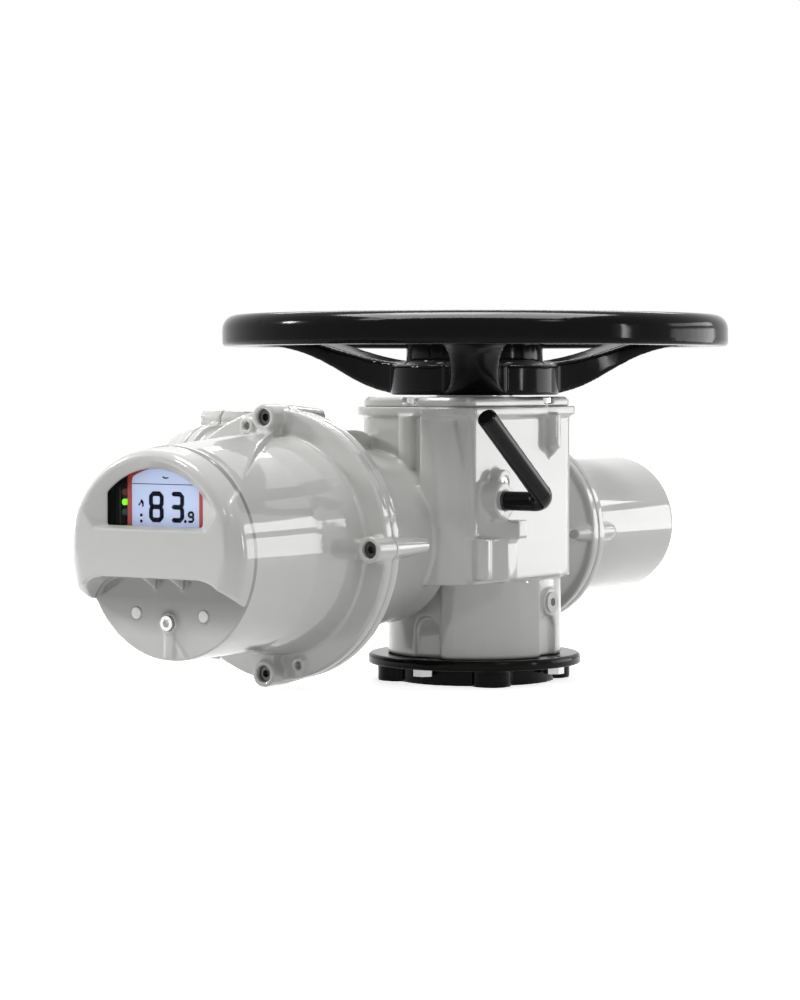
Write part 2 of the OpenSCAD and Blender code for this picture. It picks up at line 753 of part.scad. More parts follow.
module power_blocks() {
    z0 = 42 + seat_gap - 40;
    color([0.2, 0.2, 0.22]) worm_frame(-cover_joint + 40) translate([0, 0, z0]) {
        translate([-50, 6, 0]) cube([44, 44, 46]);
        translate([6, 8, 0]) cube([36, 30, 38]);
        translate([6, -46, 0]) cube([36, 42, 30]);
        translate([-44, -44, 0]) cylinder(r = 13, h = 34);
        translate([-22, -54, 0]) cylinder(r = 9, h = 26);
    }
}

module sensor_board() {
    color([0.1, 0.35, 0.2]) worm_frame(-bulkhead_y - 16) {
        ring(24, 4, 2);
        for (a = [0:120:240]) rotate(a) translate([19, 0, -16]) cylinder(r = 3, h = 16 + eps);
    }
}

// Terminal compartment

term_lug_r = 8.8;
term_lugs = [[term_h + 8, 0, 0], [-term_h - 8, 0, 0], [34, term_w + 6, 0], [34, -term_w - 6, 0],
    [-34, term_w + 6, 0], [-34, -term_w - 6, 0]];
conduit_boss = 6;
conduits = [[-121, -180, 20], [-103, -121, 12.5], [-143, -121, 12.5]];
term_floor = 94;            // distance from the drive axis to the floor of the compartment
conduit_wall = 3;
earth_at = [-72, -130, worm_z - term_h - 8];

module terminal_cover() {
    flange_t = 9;
    lug_h = 24;
    color([0.75, 0.75, 0.74]) term_frame(-term_joint) difference() {
        union() {
            linear_extrude(flange_t) round_rect(-term_h - 4, -term_w - 4, term_h + 4, term_w + 4, [48, 48, 48, 48]);
            hull() {
                linear_extrude(term_cover_len - 12) round_rect(-term_h, -term_w, term_h, term_w, [45, 45, 45, 45]);
                linear_extrude(term_cover_len - 4) {
                    round_rect(-term_h + 4, -term_w + 4, term_h - 4, term_w - 4, [42, 42, 42, 42]);
                }
                linear_extrude(term_cover_len) {
                    round_rect(-term_h + 14, -term_w + 14, term_h - 14, term_w - 14, [34, 34, 34, 34]);
                }
            }
            for (p = term_lugs) translate(p) cylinder(r = term_lug_r, h = lug_h);
        }
        translate([0, 0, -1]) linear_extrude(term_cover_len - 5) {
            round_rect(-term_h + 10, -term_w + 10, term_h - 10, term_w - 10, [36, 36, 36, 36]);
        }
        for (p = term_lugs) translate([p[0], p[1], -1]) {
            cylinder(d = 9, h = lug_h);
            translate([0, 0, 17]) cylinder(r = 7, h = lug_h);
        }
    }
}

module terminal_cover_screws() {
    color([0.72, 0.72, 0.74]) for (p = term_lugs) term_frame(-term_joint - 16) translate(p) cap_screw(8, 30);
}

module terminal_seal() {
    g = 9 + run_gap;
    color([0.1, 0.1, 0.1]) term_frame(-term_joint + 3) linear_extrude(6) difference() {
        round_rect(-term_h + g + 1, -term_w + g + 1, term_h - g - 1, term_w - g - 1, [36, 36, 36, 36]);
        round_rect(-term_h + g + 5, -term_w + g + 5, term_h - g - 5, term_w - g - 5, [32, 32, 32, 32]);
    }
}

module terminal_block() {
    color([0.12, 0.12, 0.13]) term_frame(-term_joint + 34) {
        linear_extrude(8) round_rect(-78, -50, 78, 50, [30, 30, 30, 30]);
        post = term_joint - 34 - term_floor;
        for (i = [-1, 1], j = [-1, 1]) translate([i * 56, j * 34, -post]) cylinder(r = 4, h = post + eps);
    }
}

module terminal_studs() {
    color([0.8, 0.65, 0.3]) term_frame(-term_joint + 26 - seat_gap) {
        for (i = [-4:4], j = [-1.5:1:1.5]) translate([i * 15, j * 20, 0]) cylinder(r = 2.5, h = 12);
    }
}

// One threaded adaptor, screwed into a conduit entry from below
module conduit_adaptor(e) {
    head = 7;
    color([0.78, 0.72, 0.5]) translate([e[0], e[1], worm_z - term_h - conduit_boss - head]) difference() {
        union() {
            cylinder(r = e[2] + 3.5, h = head, $fn = 6);
            cylinder(r = e[2], h = head + 20);
        }
        translate([0, 0, -1]) cylinder(r = e[2] - conduit_wall, h = head + 22);
    }
}

module conduit_adaptor_large() { conduit_adaptor(conduits[0]); }
module conduit_adaptor_front() { conduit_adaptor(conduits[1]); }
module conduit_adaptor_rear() { conduit_adaptor(conduits[2]); }

module earth_stud() {
    color([0.8, 0.7, 0.35]) translate(earth_at) rotate([180, 0, 0]) hex_screw(6, 12);
}

module oil_plug() {
    color([0.5, 0.5, 0.5]) oil_boss(lower_r + 3 - 10) difference() {
        union() {
            cylinder(r = 7 - run_gap, h = 11);
            translate([0, 0, 10 + eps]) cylinder(r = 9, h = 2);
        }
        translate([0, 0, 6]) cylinder(r = 4, h = 10, $fn = 6);
    }
}

module padlock_plug() {
    color([0.7, 0.7, 0.7]) padlock_boss() translate([0, 0, 13]) difference() {
        cylinder(r = 5 - run_gap, h = 6);
        translate([0, 0, 4]) cylinder(r = 2.4, h = 4, $fn = 6);
    }
}

// Drive train

sleeve_bore_r = stem_bore_d / 2 + 0.5;
sleeve_r = 20;
collar_r = 36;
collar_top = 60;
bush_r = 27;
bush_top = 44;
bush_bottom = 2;
bearing_top = 64;
sleeve_top = 262;
wheel_pitch_r = gear_m * wheel_teeth / 2;
worm_r = worm_offset - wheel_pitch_r;
tooth = 0.8 * gear_m;       // addendum, shortened for running clearance
root_gap = 0.25 * gear_m;   // from the tip of one gear to the root of the other
wheel_h = 24;
dog_z = 152;                // foot of the dogs on the worm wheel
dog_h = 6;
dog_in = 22;
dog_out = 31;
dog_half = 10;              // half angle of one dog
dogs = 4;

module dog_ring(z, start) {
    translate([0, 0, z]) for (i = [0:dogs - 1]) rotate(start + i * 360 / dogs) {
        intersection() {
            ring(dog_out, dog_in, dog_h);
            linear_extrude(dog_h) polygon([[0, 0], [60 * cos(dog_half), -60 * sin(dog_half)],
                [60 * cos(dog_half), 60 * sin(dog_half)]]);
        }
    }
}

module drive_sleeve() {
    color([0.55, 0.55, 0.57]) difference() {
        union() {
            translate([0, 0, bush_bottom + 2]) cylinder(r = collar_r, h = collar_top - bush_bottom - 2);
            translate([0, 0, collar_top - eps]) cylinder(r = sleeve_r, h = sleeve_top - collar_top);
        }
        translate([0, 0, -1]) cylinder(r = sleeve_bore_r, h = sleeve_top + 2);
        translate([0, 0, -1]) cylinder(r = bush_r + run_gap, h = bush_top + 1);
    }
}

module drive_bush() {
    color([0.72, 0.6, 0.3]) translate([0, 0, bush_bottom + 3]) difference() {
        cylinder(r = bush_r, h = bush_top - bush_bottom - 3);
        translate([0, 0, -1]) cylinder(d = stem_bore_d, h = bush_top);
    }
}

module bush_clip() {
    color([0.4, 0.4, 0.42]) translate([0, 0, bush_bottom]) ring(collar_r - 2, stem_bore_d / 2 + 6, 2);
}

module worm_wheel() {
    z = worm_z - wheel_h / 2;
    pitch = 360 / wheel_teeth;
    color([0.75, 0.58, 0.25]) difference() {
        union() {
            translate([0, 0, z]) cylinder(r = wheel_pitch_r - tooth - root_gap, h = wheel_h);
            for (i = [0:wheel_teeth - 1]) rotate(180 + (i + 0.5) * pitch) {
                translate([0, 0, z]) linear_extrude(wheel_h) polygon([
                    [wheel_pitch_r - tooth - 1, -1.75], [wheel_pitch_r + tooth, -0.7],
                    [wheel_pitch_r + tooth, 0.7], [wheel_pitch_r - tooth - 1, 1.75]]);
            }
            translate([0, 0, z + wheel_h - eps]) cylinder(r = dog_out, h = dog_z - z - wheel_h + eps);
            dog_ring(dog_z - eps, 0);
        }
        translate([0, 0, z - 1]) cylinder(r = sleeve_r + run_gap, h = 60);
    }
}

module clutch_ring() {
    z = dog_z + dog_h + 1;
    body_h = 16;
    groove = 4;
    color([0.5, 0.5, 0.52]) difference() {
        union() {
            translate([0, 0, z]) cylinder(r = dog_out + 4, h = body_h);
            dog_ring(z - dog_h + eps, 180 / dogs);
            dog_ring(z + body_h - eps, 0);
        }
        translate([0, 0, z - 20]) cylinder(r = sleeve_r + run_gap, h = 60);
        translate([0, 0, z + groove]) ring(dog_out + 10, dog_out, body_h - 2 * groove);
    }
}

// The crank pin swings through equal angles below and above the shaft, so it lifts almost evenly
crank_r = clutch_travel / 2 / sin(lever_swing / 2);
crank_pin_r = 3;

module shift_yoke() {
    z = dog_z + dog_h + 1 + 4 + seat_gap;
    h = 8 - 2 * seat_gap;
    pin_y = -lever_y + crank_r * cos(lever_swing / 2);
    slot_top = lever_z - clutch_travel / 2 + crank_pin_r + 0.6;
    color([0.6, 0.5, 0.3]) difference() {
        union() {
            translate([0, 0, z]) difference() {
                cylinder(r = dog_out + 12, h = h);
                translate([0, 0, -1]) cylinder(r = dog_out + run_gap * 6, h = h + 2);
                translate([-60, 0, -1]) cube([120, 60, h + 2]);
            }
            translate([-12, pin_y - 8, slot_top - 12]) cube([24, 8 - pin_y - dog_out - 6, z + h - slot_top + 12]);
        }
        translate([0, 0, z - 20]) cylinder(r = dog_out + 5, h = 20);
        translate([-20, pin_y - 5, slot_top - 2 * crank_pin_r - 1.2]) cube([40, 11, 2 * crank_pin_r + 1.2]);
    }
}

module worm_shaft() {
    thread = 52;
    turns = thread / (PI * gear_m);
    color([0.6, 0.6, 0.62]) {
        worm_frame(bulkhead_y - 30) cylinder(r = 9, h = 2 * bulkhead_y - 20);
        motor_frame(bulkhead_y - 30 - eps) cylinder(r = 8, h = motor_joint + motor_len - 8 - bulkhead_y + 30);
        worm_frame(thread / 2) linear_extrude(thread, twist = -360 * turns, slices = 8 * turns, $fn = 12) {
            rotate(-180 * turns) union() {
                circle(worm_r - tooth - root_gap, $fn = 12);
                polygon([for (i = [-3:3]) let (a = i * 30, r = worm_r - tooth - 1 + (2 * tooth + 1) * (1 - abs(i) / 3))
                    [r * cos(a), r * sin(a)], [0, 0]]);
            }
        }
    }
}

module motor_rotor() {
    color([0.5, 0.5, 0.52]) motor_frame(stator_y) ring(rotor_r, 8, stator_len);
}

module sensor_magnet() {
    color([0.3, 0.3, 0.32]) worm_frame(-bulkhead_y + 10 - 20) cylinder(r = 9, h = 4);
}

// Lower and upper column bearings, and the pair on the worm shaft

module lower_bearing() {
    color([0.7, 0.7, 0.72]) translate([0, 0, plate_top]) ring(bearing_bore_r - run_gap, collar_r + run_gap, 20);
}

module upper_bearing() {
    color([0.7, 0.7, 0.72]) translate([0, 0, cap_bearing_z]) ring(cavity_r - 8 - run_gap, hub_sleeve_r + run_gap, 12);
}

module worm_bearings() {
    color([0.7, 0.7, 0.72]) for (y = [-worm_bearing_y, worm_bearing_y + worm_bearing_w]) {
        worm_frame(y) ring(tunnel_r - run_gap, 9 + run_gap, worm_bearing_w);
    }
}

// Handwheel

hub_bottom = gearcase_top + cap_h + 1.5;
hub_h = 27;
hub_top_r = 61;
hub_top = hub_bottom + hub_h + 20;
hub_sleeve_r = 34;
hub_sleeve_bottom = 196;
cap_r = 30;

module spoke() {
    outer = wheel_d / 2 - rim_w + 8;
    inner = hub_r - 12;
    low = concat(curve([[inner, hub_bottom + 0.5], [125, hub_bottom + 4], [140, rim_z - 4], [outer, rim_z + 2]], 12));
    high = curve([[outer, rim_z + 16], [165, rim_z + 14], [120, hub_bottom + hub_h + 4], [inner, hub_bottom + hub_h + 2]], 12);
    narrow = spoke_w / 2;
    intersection() {
        rotate([90, 0, 0]) translate([0, 0, -40]) linear_extrude(80) polygon(concat(low, high));
        translate([0, 0, hub_bottom]) linear_extrude(90) difference() {
            translate([inner, -36]) square([outer - inner, 72]);
            for (s = [-1, 1]) polygon(concat([[inner, s * 60]],
                curve([[inner, s * (narrow + 12)], [inner + 45, s * narrow], [outer - 60, s * narrow], [outer, s * (narrow + 14)]], 12),
                [[outer, s * 60]]));
        }
    }
}

module handwheel() {
    color([0.03, 0.03, 0.035]) difference() {
        union() {
            rotate_extrude($fn = 160) round_rect(wheel_d / 2 - rim_w, rim_z, wheel_d / 2, rim_z + rim_section_h, [4, 3, 13, 11]);
            translate([0, 0, hub_bottom]) cylinder(r = hub_r, h = hub_h);
            translate([0, 0, hub_bottom]) cylinder(r = hub_top_r, h = hub_top - hub_bottom);
            for (i = [0:spokes - 1]) rotate(-90 + view_az + i * 360 / spokes) spoke();
        }
        translate([0, 0, hub_bottom - 1]) cylinder(r = sleeve_r + 1, h = 80);
        translate([0, 0, hub_bottom - 1]) cylinder(r = hub_sleeve_r + run_gap, h = 21);
        translate([0, 0, hub_top - 6]) cylinder(r = cap_r + 8, h = 10);
        for (a = [0:90:270]) rotate(a + 45) translate([27, 0, hub_bottom]) cylinder(d = 7, h = 60);
    }
}

module hub_sleeve() {
    color([0.55, 0.55, 0.57]) difference() {
        union() {
            translate([0, 0, hub_sleeve_bottom]) cylinder(r = hub_sleeve_r, h = hub_bottom + 19.5 - hub_sleeve_bottom);
            dog_ring(hub_sleeve_bottom - dog_h + eps, 180 / dogs);
        }
        translate([0, 0, hub_sleeve_bottom - 20]) cylinder(r = sleeve_r + 0.1, h = 140);
        for (a = [0:90:270]) rotate(a + 45) translate([27, 0, hub_bottom]) cylinder(d = 6, h = 40);
    }
}

module stem_cap() {
    color([0.05, 0.05, 0.055]) translate([0, 0, hub_top - 6 + seat_gap]) {
        rotate_extrude() round_rect(0, 0, cap_r, 14, [0, 0, 6, 0]);
    }
}

module hub_screws() {
    color([0.6, 0.6, 0.62]) for (a = [0:90:270]) rotate(a + 45) translate([27, 0, hub_bottom + 1]) cylinder(d = 5.9, h = 38);
}

// Hand and auto lever

lever_rod_r = 6.5;

// Rod along the shaft's axis, then a round bend and the arm
module lever_rod(r, from_x) {
    bend_r = 14;
    tip = 1.5;
    lap = 1;
    translate([0, -lever_y, lever_z]) rotate([180 - lever_rest, 0, 0]) {
        translate([from_x, 0, 0]) rotate([0, 90, 0]) cylinder(r = r, h = lever_x - bend_r + lap - from_x);
        translate([lever_x - bend_r, bend_r, 0]) rotate(-90) rotate_extrude(angle = 90) {
            translate([bend_r, 0]) circle(r + 0.2);
        }
        translate([lever_x, bend_r - lap, 0]) rotate([-90, 0, 0]) rotate_extrude() {
            polygon([[0, 0], [r, 0], [r, lever_len - bend_r + lap - tip], [r - tip, lever_len - bend_r + lap],
                [0, lever_len - bend_r + lap]]);
        }
    }
}

module lever_shaft() {
    color([0.6, 0.6, 0.62]) lever_frame(-20) cylinder(r = lever_rod_r, h = lever_boss_end + 29.9);
}

module lever_grip() {
    color([0.04, 0.04, 0.045]) difference() {
        lever_rod(grip_d / 2, lever_boss_end + 2);
        lever_frame(0) cylinder(r = lever_rod_r + run_gap, h = lever_boss_end + 10);
    }
}

module lever_crank() {
    color([0.5, 0.5, 0.52]) translate([0, -lever_y, lever_z]) rotate([-lever_swing / 2, 0, 0]) difference() {
        union() {
            for (x = [-19, 14]) translate([x, 0, 0]) rotate([0, 90, 0]) cylinder(r = 9, h = 5);
            for (x = [-19, 14]) translate([x, 0, -5]) cube([5, crank_r, 10]);
            for (x = [-19, 14]) translate([x, crank_r, 0]) rotate([0, 90, 0]) cylinder(r = 5, h = 5);
            translate([-19, crank_r, 0]) rotate([0, 90, 0]) cylinder(r = crank_pin_r, h = 38);
        }
        translate([-30, 0, 0]) rotate([0, 90, 0]) cylinder(r = lever_rod_r + run_gap, h = 60);
    }
}

module lever_seal() {
    color([0.1, 0.1, 0.1]) lever_frame(lever_boss_end - 6) ring(lever_bore_r - run_gap, lever_rod_r + run_gap, 5.5);
}

thrust_base();
base_screws();
gearcase();
top_cap();
cap_screws();
hub_seal();
motor_cover();
motor_cover_screws();
motor_seal();
motor_stator();
stator_windings();
motor_end_bearing();
display_cover();
display_cover_screws();
display_seal();
window_glass();
lcd_panel();
lcd_frame();
status_lamps();
display_board();
face_plug();
face_caps();
main_board();
power_blocks();
sensor_board();
terminal_cover();
terminal_cover_screws();
terminal_seal();
terminal_block();
terminal_studs();
conduit_adaptor_large();
conduit_adaptor_front();
conduit_adaptor_rear();
oil_plug();
padlock_plug();
earth_stud();
lower_bearing();
upper_bearing();
worm_bearings();
lever_seal();
drive_sleeve();
worm_wheel();
drive_bush();
bush_clip();
clutch_ring();
shift_yoke();
worm_shaft();
motor_rotor();
sensor_magnet();
lever_shaft();
lever_grip();
lever_crank();
handwheel();
hub_sleeve();
stem_cap();
hub_screws();
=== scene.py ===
import bpy, bmesh, json, math
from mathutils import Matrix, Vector


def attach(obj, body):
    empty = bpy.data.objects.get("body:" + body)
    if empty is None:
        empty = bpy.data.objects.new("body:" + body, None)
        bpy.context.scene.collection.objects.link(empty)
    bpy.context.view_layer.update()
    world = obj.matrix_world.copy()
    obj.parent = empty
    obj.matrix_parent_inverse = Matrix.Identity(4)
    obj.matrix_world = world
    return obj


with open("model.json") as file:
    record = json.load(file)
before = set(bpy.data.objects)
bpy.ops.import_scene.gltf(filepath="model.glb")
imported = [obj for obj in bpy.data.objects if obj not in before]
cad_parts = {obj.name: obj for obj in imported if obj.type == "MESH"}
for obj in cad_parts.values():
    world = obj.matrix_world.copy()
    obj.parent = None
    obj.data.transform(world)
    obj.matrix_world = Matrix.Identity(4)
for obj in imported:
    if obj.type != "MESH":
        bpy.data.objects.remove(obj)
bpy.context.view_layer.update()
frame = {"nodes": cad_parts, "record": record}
nodes = frame["nodes"]
scene = bpy.context.scene
print("frame loaded:", len(nodes), "nodes")


def addObject(name, data):
    o = bpy.data.objects.new(name, data)
    scene.collection.objects.link(o)
    return o


def addMesh(name, bm, finish):
    mesh = bpy.data.meshes.new(name)
    bm.to_mesh(mesh)
    bm.free()
    mesh.materials.append(finish)
    return addObject(name, mesh)


view = {
    "azimuth": 32.7,      # degrees from -Y towards +X
    "distance": 2.6,      # metres from the drive axis
    "height": 0.269,
    "aimLeft": 1.468,     # degrees left of the drive axis
    "aimDown": 2.403,
    "lens": 104.65,
    "sensor": 36,
    "farClip": 60,
}


def makeCamera():
    cam = addObject("camera", bpy.data.cameras.new("camera"))
    a = math.radians(view["azimuth"])
    cam.location = (view["distance"] * math.sin(a), -view["distance"] * math.cos(a), view["height"])
    cam.rotation_euler = (math.radians(90 - view["aimDown"]), 0, a + math.radians(view["aimLeft"]))
    cam.data.lens = view["lens"]
    cam.data.sensor_width = view["sensor"]
    cam.data.clip_end = view["farClip"]
    scene.camera = cam


makeCamera()
print("camera made")


def plug(tree, slot, v):
    if isinstance(v, Value):
        tree.links.new(v.out, slot)
    else:
        slot.default_value = v


# A shader socket that takes part in Python expressions
class Value:
    def __init__(self, tree, out):
        self.tree, self.out = tree, out

    def maths(self, op, *args):
        n = self.tree.nodes.new("ShaderNodeMath")
        n.operation = op
        for slot, v in zip(n.inputs, args):
            plug(self.tree, slot, v)
        return Value(self.tree, n.outputs[0])

    def __add__(self, o): return self.maths("ADD", self, o)
    def __radd__(self, o): return self.maths("ADD", o, self)
    def __sub__(self, o): return self.maths("SUBTRACT", self, o)
    def __rsub__(self, o): return self.maths("SUBTRACT", o, self)
    def __mul__(self, o): return self.maths("MULTIPLY", self, o)
    def __rmul__(self, o): return self.maths("MULTIPLY", o, self)
    def __truediv__(self, o): return self.maths("DIVIDE", self, o)
    def __rtruediv__(self, o): return self.maths("DIVIDE", o, self)
    def __gt__(self, o): return self.maths("GREATER_THAN", self, o)
    def __lt__(self, o): return self.maths("LESS_THAN", self, o)
    def clamp(self): return self.maths("MINIMUM", self.maths("MAXIMUM", self, 0.0), 1.0)


# A node tree under construction
class Tree:
    def __init__(self, tree):
        self.tree = tree
        tree.nodes.clear()

    def node(self, kind, settings=None, sockets=None, out=0):
        n = self.tree.nodes.new(kind)
        for k, v in (settings or {}).items():
            setattr(n, k, v)
        for k, v in (sockets or {}).items():
            plug(self.tree, n.inputs[k], v)
        return Value(self.tree, n.outputs[out]) if len(n.outputs) else None

    def place(self, axis=None):  # where a point lies on the object, or one coordinate of it
        at = self.node("ShaderNodeTexCoord", out="Object")
        return self.node("ShaderNodeSeparateXYZ", {}, {"Vector": at}, axis) if axis else at

    def noise(self, scale, detail=2.0, rough=0.5, stretch=None):
        at = self.place()
        if stretch:
            at = self.node("ShaderNodeMapping", {}, {"Vector": at, "Scale": stretch})
        sockets = {"Vector": at, "Scale": scale, "Detail": detail, "Roughness": rough}
        return self.node("ShaderNodeTexNoise", {}, sockets)

    def mixColour(self, factor, a, b):
        return self.node("ShaderNodeMix", {"data_type": "RGBA"}, {0: factor, 6: a, 7: b}, 2)

    def bump(self, height, distance, under=None):
        sockets = {"Height": height, "Distance": distance, "Strength": 1.0}
        if under:
            sockets["Normal"] = under
        return self.node("ShaderNodeBump", {}, sockets)

    def seenWhite(self):  # 1 for the rays that see the backdrop's own white
        n = self.node("ShaderNodeLightPath").out.node
        rays = [Value(self.tree, n.outputs["Is " + ray + " Ray"]) for ray in ("Camera", "Glossy", "Transmission")]
        return sum(rays, 0.0).clamp()


# A material under construction
class Finish(Tree):
    def __init__(self, name, **uniform):
        self.material = bpy.data.materials.new(name)
        self.material.use_nodes = True
        super().__init__(self.material.node_tree)
        self.surface = self.node("ShaderNodeBsdfPrincipled")
        self.feed(**uniform)

    def feed(self, **sockets):  # baseColor=... goes to the shader's Base Color
        shader = self.surface.out.node
        for k, v in sockets.items():
            name = "".join(" " + c if c.isupper() else c for c in k).title().replace("Ior", "IOR")
            plug(self.tree, shader.inputs[name], v)

    def done(self, surface=None):
        self.node("ShaderNodeOutputMaterial", {}, {"Surface": surface or self.surface})
        return self.material


def rgb(r, g, b):
    return (r, g, b, 1.0)


def darker(tone, share):
    return rgb(*[c * share for c in tone])


greyPaint = {
    "dark": (0.56, 0.56, 0.545),
    "light": (0.60, 0.60, 0.585),
    "roughness": 0.34,
    "coat": 1.0,             # the clear coat that mirrors the studio
    "gloss": 0.2,
    "peelDepth": 0.000006,
    "waveDepth": 0.00007,    # how wavy the casting is under the paint
}

blackPaint = {
    "dark": (0.002, 0.002, 0.0025),
    "light": (0.0035, 0.0035, 0.004),
    "roughness": 0.09,
    "coat": 0.0,
    "gloss": 0.08,
    "peelDepth": 0.000005,
    "waveDepth": 0.00002,
}

wear = {  # sizes of the paint's patterns per metre, and how strongly each shows
    "cloud": 7.0, "cloudRough": 0.05,
    "speck": 900.0, "speckFrom": 0.62, "speckShow": 0.5, "speckTone": 0.8,
    "grime": 22.0, "grimeFrom": 0.56, "grimeGain": 5.0, "grimeMost": 0.35,
    "grimeShow": 0.4, "grimeTone": 0.86, "grimeRough": 0.18,
    "wave": 45.0, "peel": 420.0,
    "coatRoughness": 0.04, "coatIor": 1.5,
}

cover = {"x": -0.040, "z": 0.130, "joint": -0.236, "lcd": 0.155}  # axis and planes of the display cover

coverTones = {  # planes of the display cover, in metres, and colours: the lower face gets a painted shadow under the band, and the pocket behind the window is black
    "faceFront": -0.3875, "faceRear": -0.3835, "shadeTop": 0.0940, "shadeFoot": 0.0640,
    # the lower face's painted shadow under the band, darkest high up, and the tone it fades to at the foot
    "shadowUnderBand": (0.26, 0.26, 0.255), "faceBelowShadow": (0.55, 0.55, 0.54),
    "pocketFront": -0.3990, "pocketRear": -0.3800, "pocketFoot": 0.1440, "pocketRadius": 0.0755,
    "pocket": (0.004, 0.004, 0.0045),
}


def shadeCover(f, base):  # painted shadow: the lower face darkens under the band, where the band's shadow falls, and the pocket behind the window is black
    t = coverTones
    x, y, z = (f.place(axis) for axis in "XYZ")
    # painted shadow of the band: darkest at shadeTop, fading to the face's lighter tone at shadeFoot
    under = ((z - t["shadeFoot"]) / (t["shadeTop"] - t["shadeFoot"])).clamp()
    face = f.mixColour(under, rgb(*t["faceBelowShadow"]), rgb(*t["shadowUnderBand"]))
    base = f.mixColour((y > t["faceFront"]) * (y < t["faceRear"]), base, face)
    across, up = x - cover["x"], z - cover["z"]
    inside = across * across + up * up < t["pocketRadius"] ** 2
    pocket = (y > t["pocketFront"]) * (y < t["pocketRear"]) * (z > t["pocketFoot"]) * inside
    return f.mixColour(pocket, base, rgb(*t["pocket"]))


def enamel(name, paint, shade=None):
    w = wear
    f = Finish(name, specularIorLevel=paint["gloss"], coatRoughness=w["coatRoughness"], coatIor=w["coatIor"])
    cloud = f.noise(w["cloud"], 3.0, 0.6)
    speck = f.noise(w["speck"])
    grime = ((f.noise(w["grime"], 5.0, 0.65) - w["grimeFrom"]) * w["grimeGain"]).clamp() * w["grimeMost"]
    base = f.mixColour(cloud, rgb(*paint["dark"]), rgb(*paint["light"]))
    base = f.mixColour((speck - w["speckFrom"]).clamp() * w["speckShow"], base, darker(paint["dark"], w["speckTone"]))
    base = f.mixColour(grime * w["grimeShow"], base, darker(paint["dark"], w["grimeTone"]))
    # painted shade that a caller adds, such as the display cover's painted shadow under the band
    if shade:
        base = shade(f, base)
    wave = f.bump(f.noise(w["wave"], 3.0, 0.55), paint["waveDepth"])
    f.feed(baseColor=base,
           roughness=paint["roughness"] + grime * w["grimeRough"] + cloud * w["cloudRough"],
           coatWeight=(paint["coat"] - grime * w["grimeShow"]).clamp(),
           normal=f.bump(f.noise(w["peel"]), paint["peelDepth"], wave))
    return f.done()


metalLook = {"cloud": 38.0, "cloudShare": 0.6, "grain": 260.0, "grainRough": 0.18, "depth": 0.00002}


def metal(name, dark, light, rough, stretch=None):
    m = metalLook
    f = Finish(name, metallic=1.0)
    cloud = f.noise(m["cloud"], 3.0, 0.6)
    fine = f.noise(m["grain"], 3.0, 0.6, stretch)
    tone = cloud * m["cloudShare"] + fine * (1 - m["cloudShare"])
    f.feed(baseColor=f.mixColour(tone, rgb(*dark), rgb(*light)),
           roughness=rough + (fine - 0.5) * m["grainRough"], normal=f.bump(fine, m["depth"]))
    return f.done()


plasticLook = {"cloud": 30.0, "cloudRough": 0.12}


def moulding(name, dark, light, rough, grain=700.0, depth=0.00005, **uniform):
    p = plasticLook
    f = Finish(name, **uniform)
    cloud = f.noise(p["cloud"], 3.0, 0.6)
    f.feed(baseColor=f.mixColour(cloud, rgb(*dark), rgb(*light)),
           roughness=rough + (cloud - 0.5) * p["cloudRough"], normal=f.bump(f.noise(grain), depth))
    return f.done()


windowLook = {
    "tint": (0.95, 0.98, 1.0), "ior": 1.1, "roughness": 0.01,
    "smear": 26.0, "smearFrom": 0.55, "smearGain": 3.0, "smearRough": 0.03,
}


def glassPane():
    w = windowLook
    f = Finish("clearWindow", baseColor=rgb(*w["tint"]), transmissionWeight=1.0, ior=w["ior"])
    smear = ((f.noise(w["smear"], 4.0, 0.6) - w["smearFrom"]) * w["smearGain"]).clamp()
    f.feed(roughness=w["roughness"] + smear * w["smearRough"])
    return f.done()


panelLook = {"dark": (0.40, 0.45, 0.62), "light": (0.46, 0.51, 0.68), "cloud": 18.0, "roughness": 0.35, "glow": 0.36}


def litPanel():
    p = panelLook
    f = Finish("litPanel", roughness=p["roughness"], emissionStrength=p["glow"])
    tint = f.mixColour(f.noise(p["cloud"]), rgb(*p["dark"]), rgb(*p["light"]))
    f.feed(baseColor=tint, emissionColor=tint)
    return f.done()


lampLook = {  # the row's colours, and the heights in metres between which the lit lamp lies
    "low": (0.010, 0.030, 0.035), "lit": (0.22, 0.80, 0.02), "high": (0.07, 0.022, 0.020),
    "litFrom": 0.166, "litTo": 0.174, "roughness": 0.2, "coat": 0.6, "glow": 1.1,
    "dust": 400.0, "dustTone": (0.02, 0.02, 0.02), "dustShow": 0.3,
}


def lampRow():
    t = lampLook
    f = Finish("statusLamps", roughness=t["roughness"], coatWeight=t["coat"], emissionStrength=t["glow"])
    height = f.place("Z")
    tint = f.mixColour(height > t["litFrom"], rgb(*t["low"]), rgb(*t["lit"]))
    tint = f.mixColour(height > t["litTo"], tint, rgb(*t["high"]))
    tint = f.mixColour(f.noise(t["dust"], 1.0) * t["dustShow"], tint, rgb(*t["dustTone"]))
    f.feed(baseColor=tint, emissionColor=tint)
    return f.done()


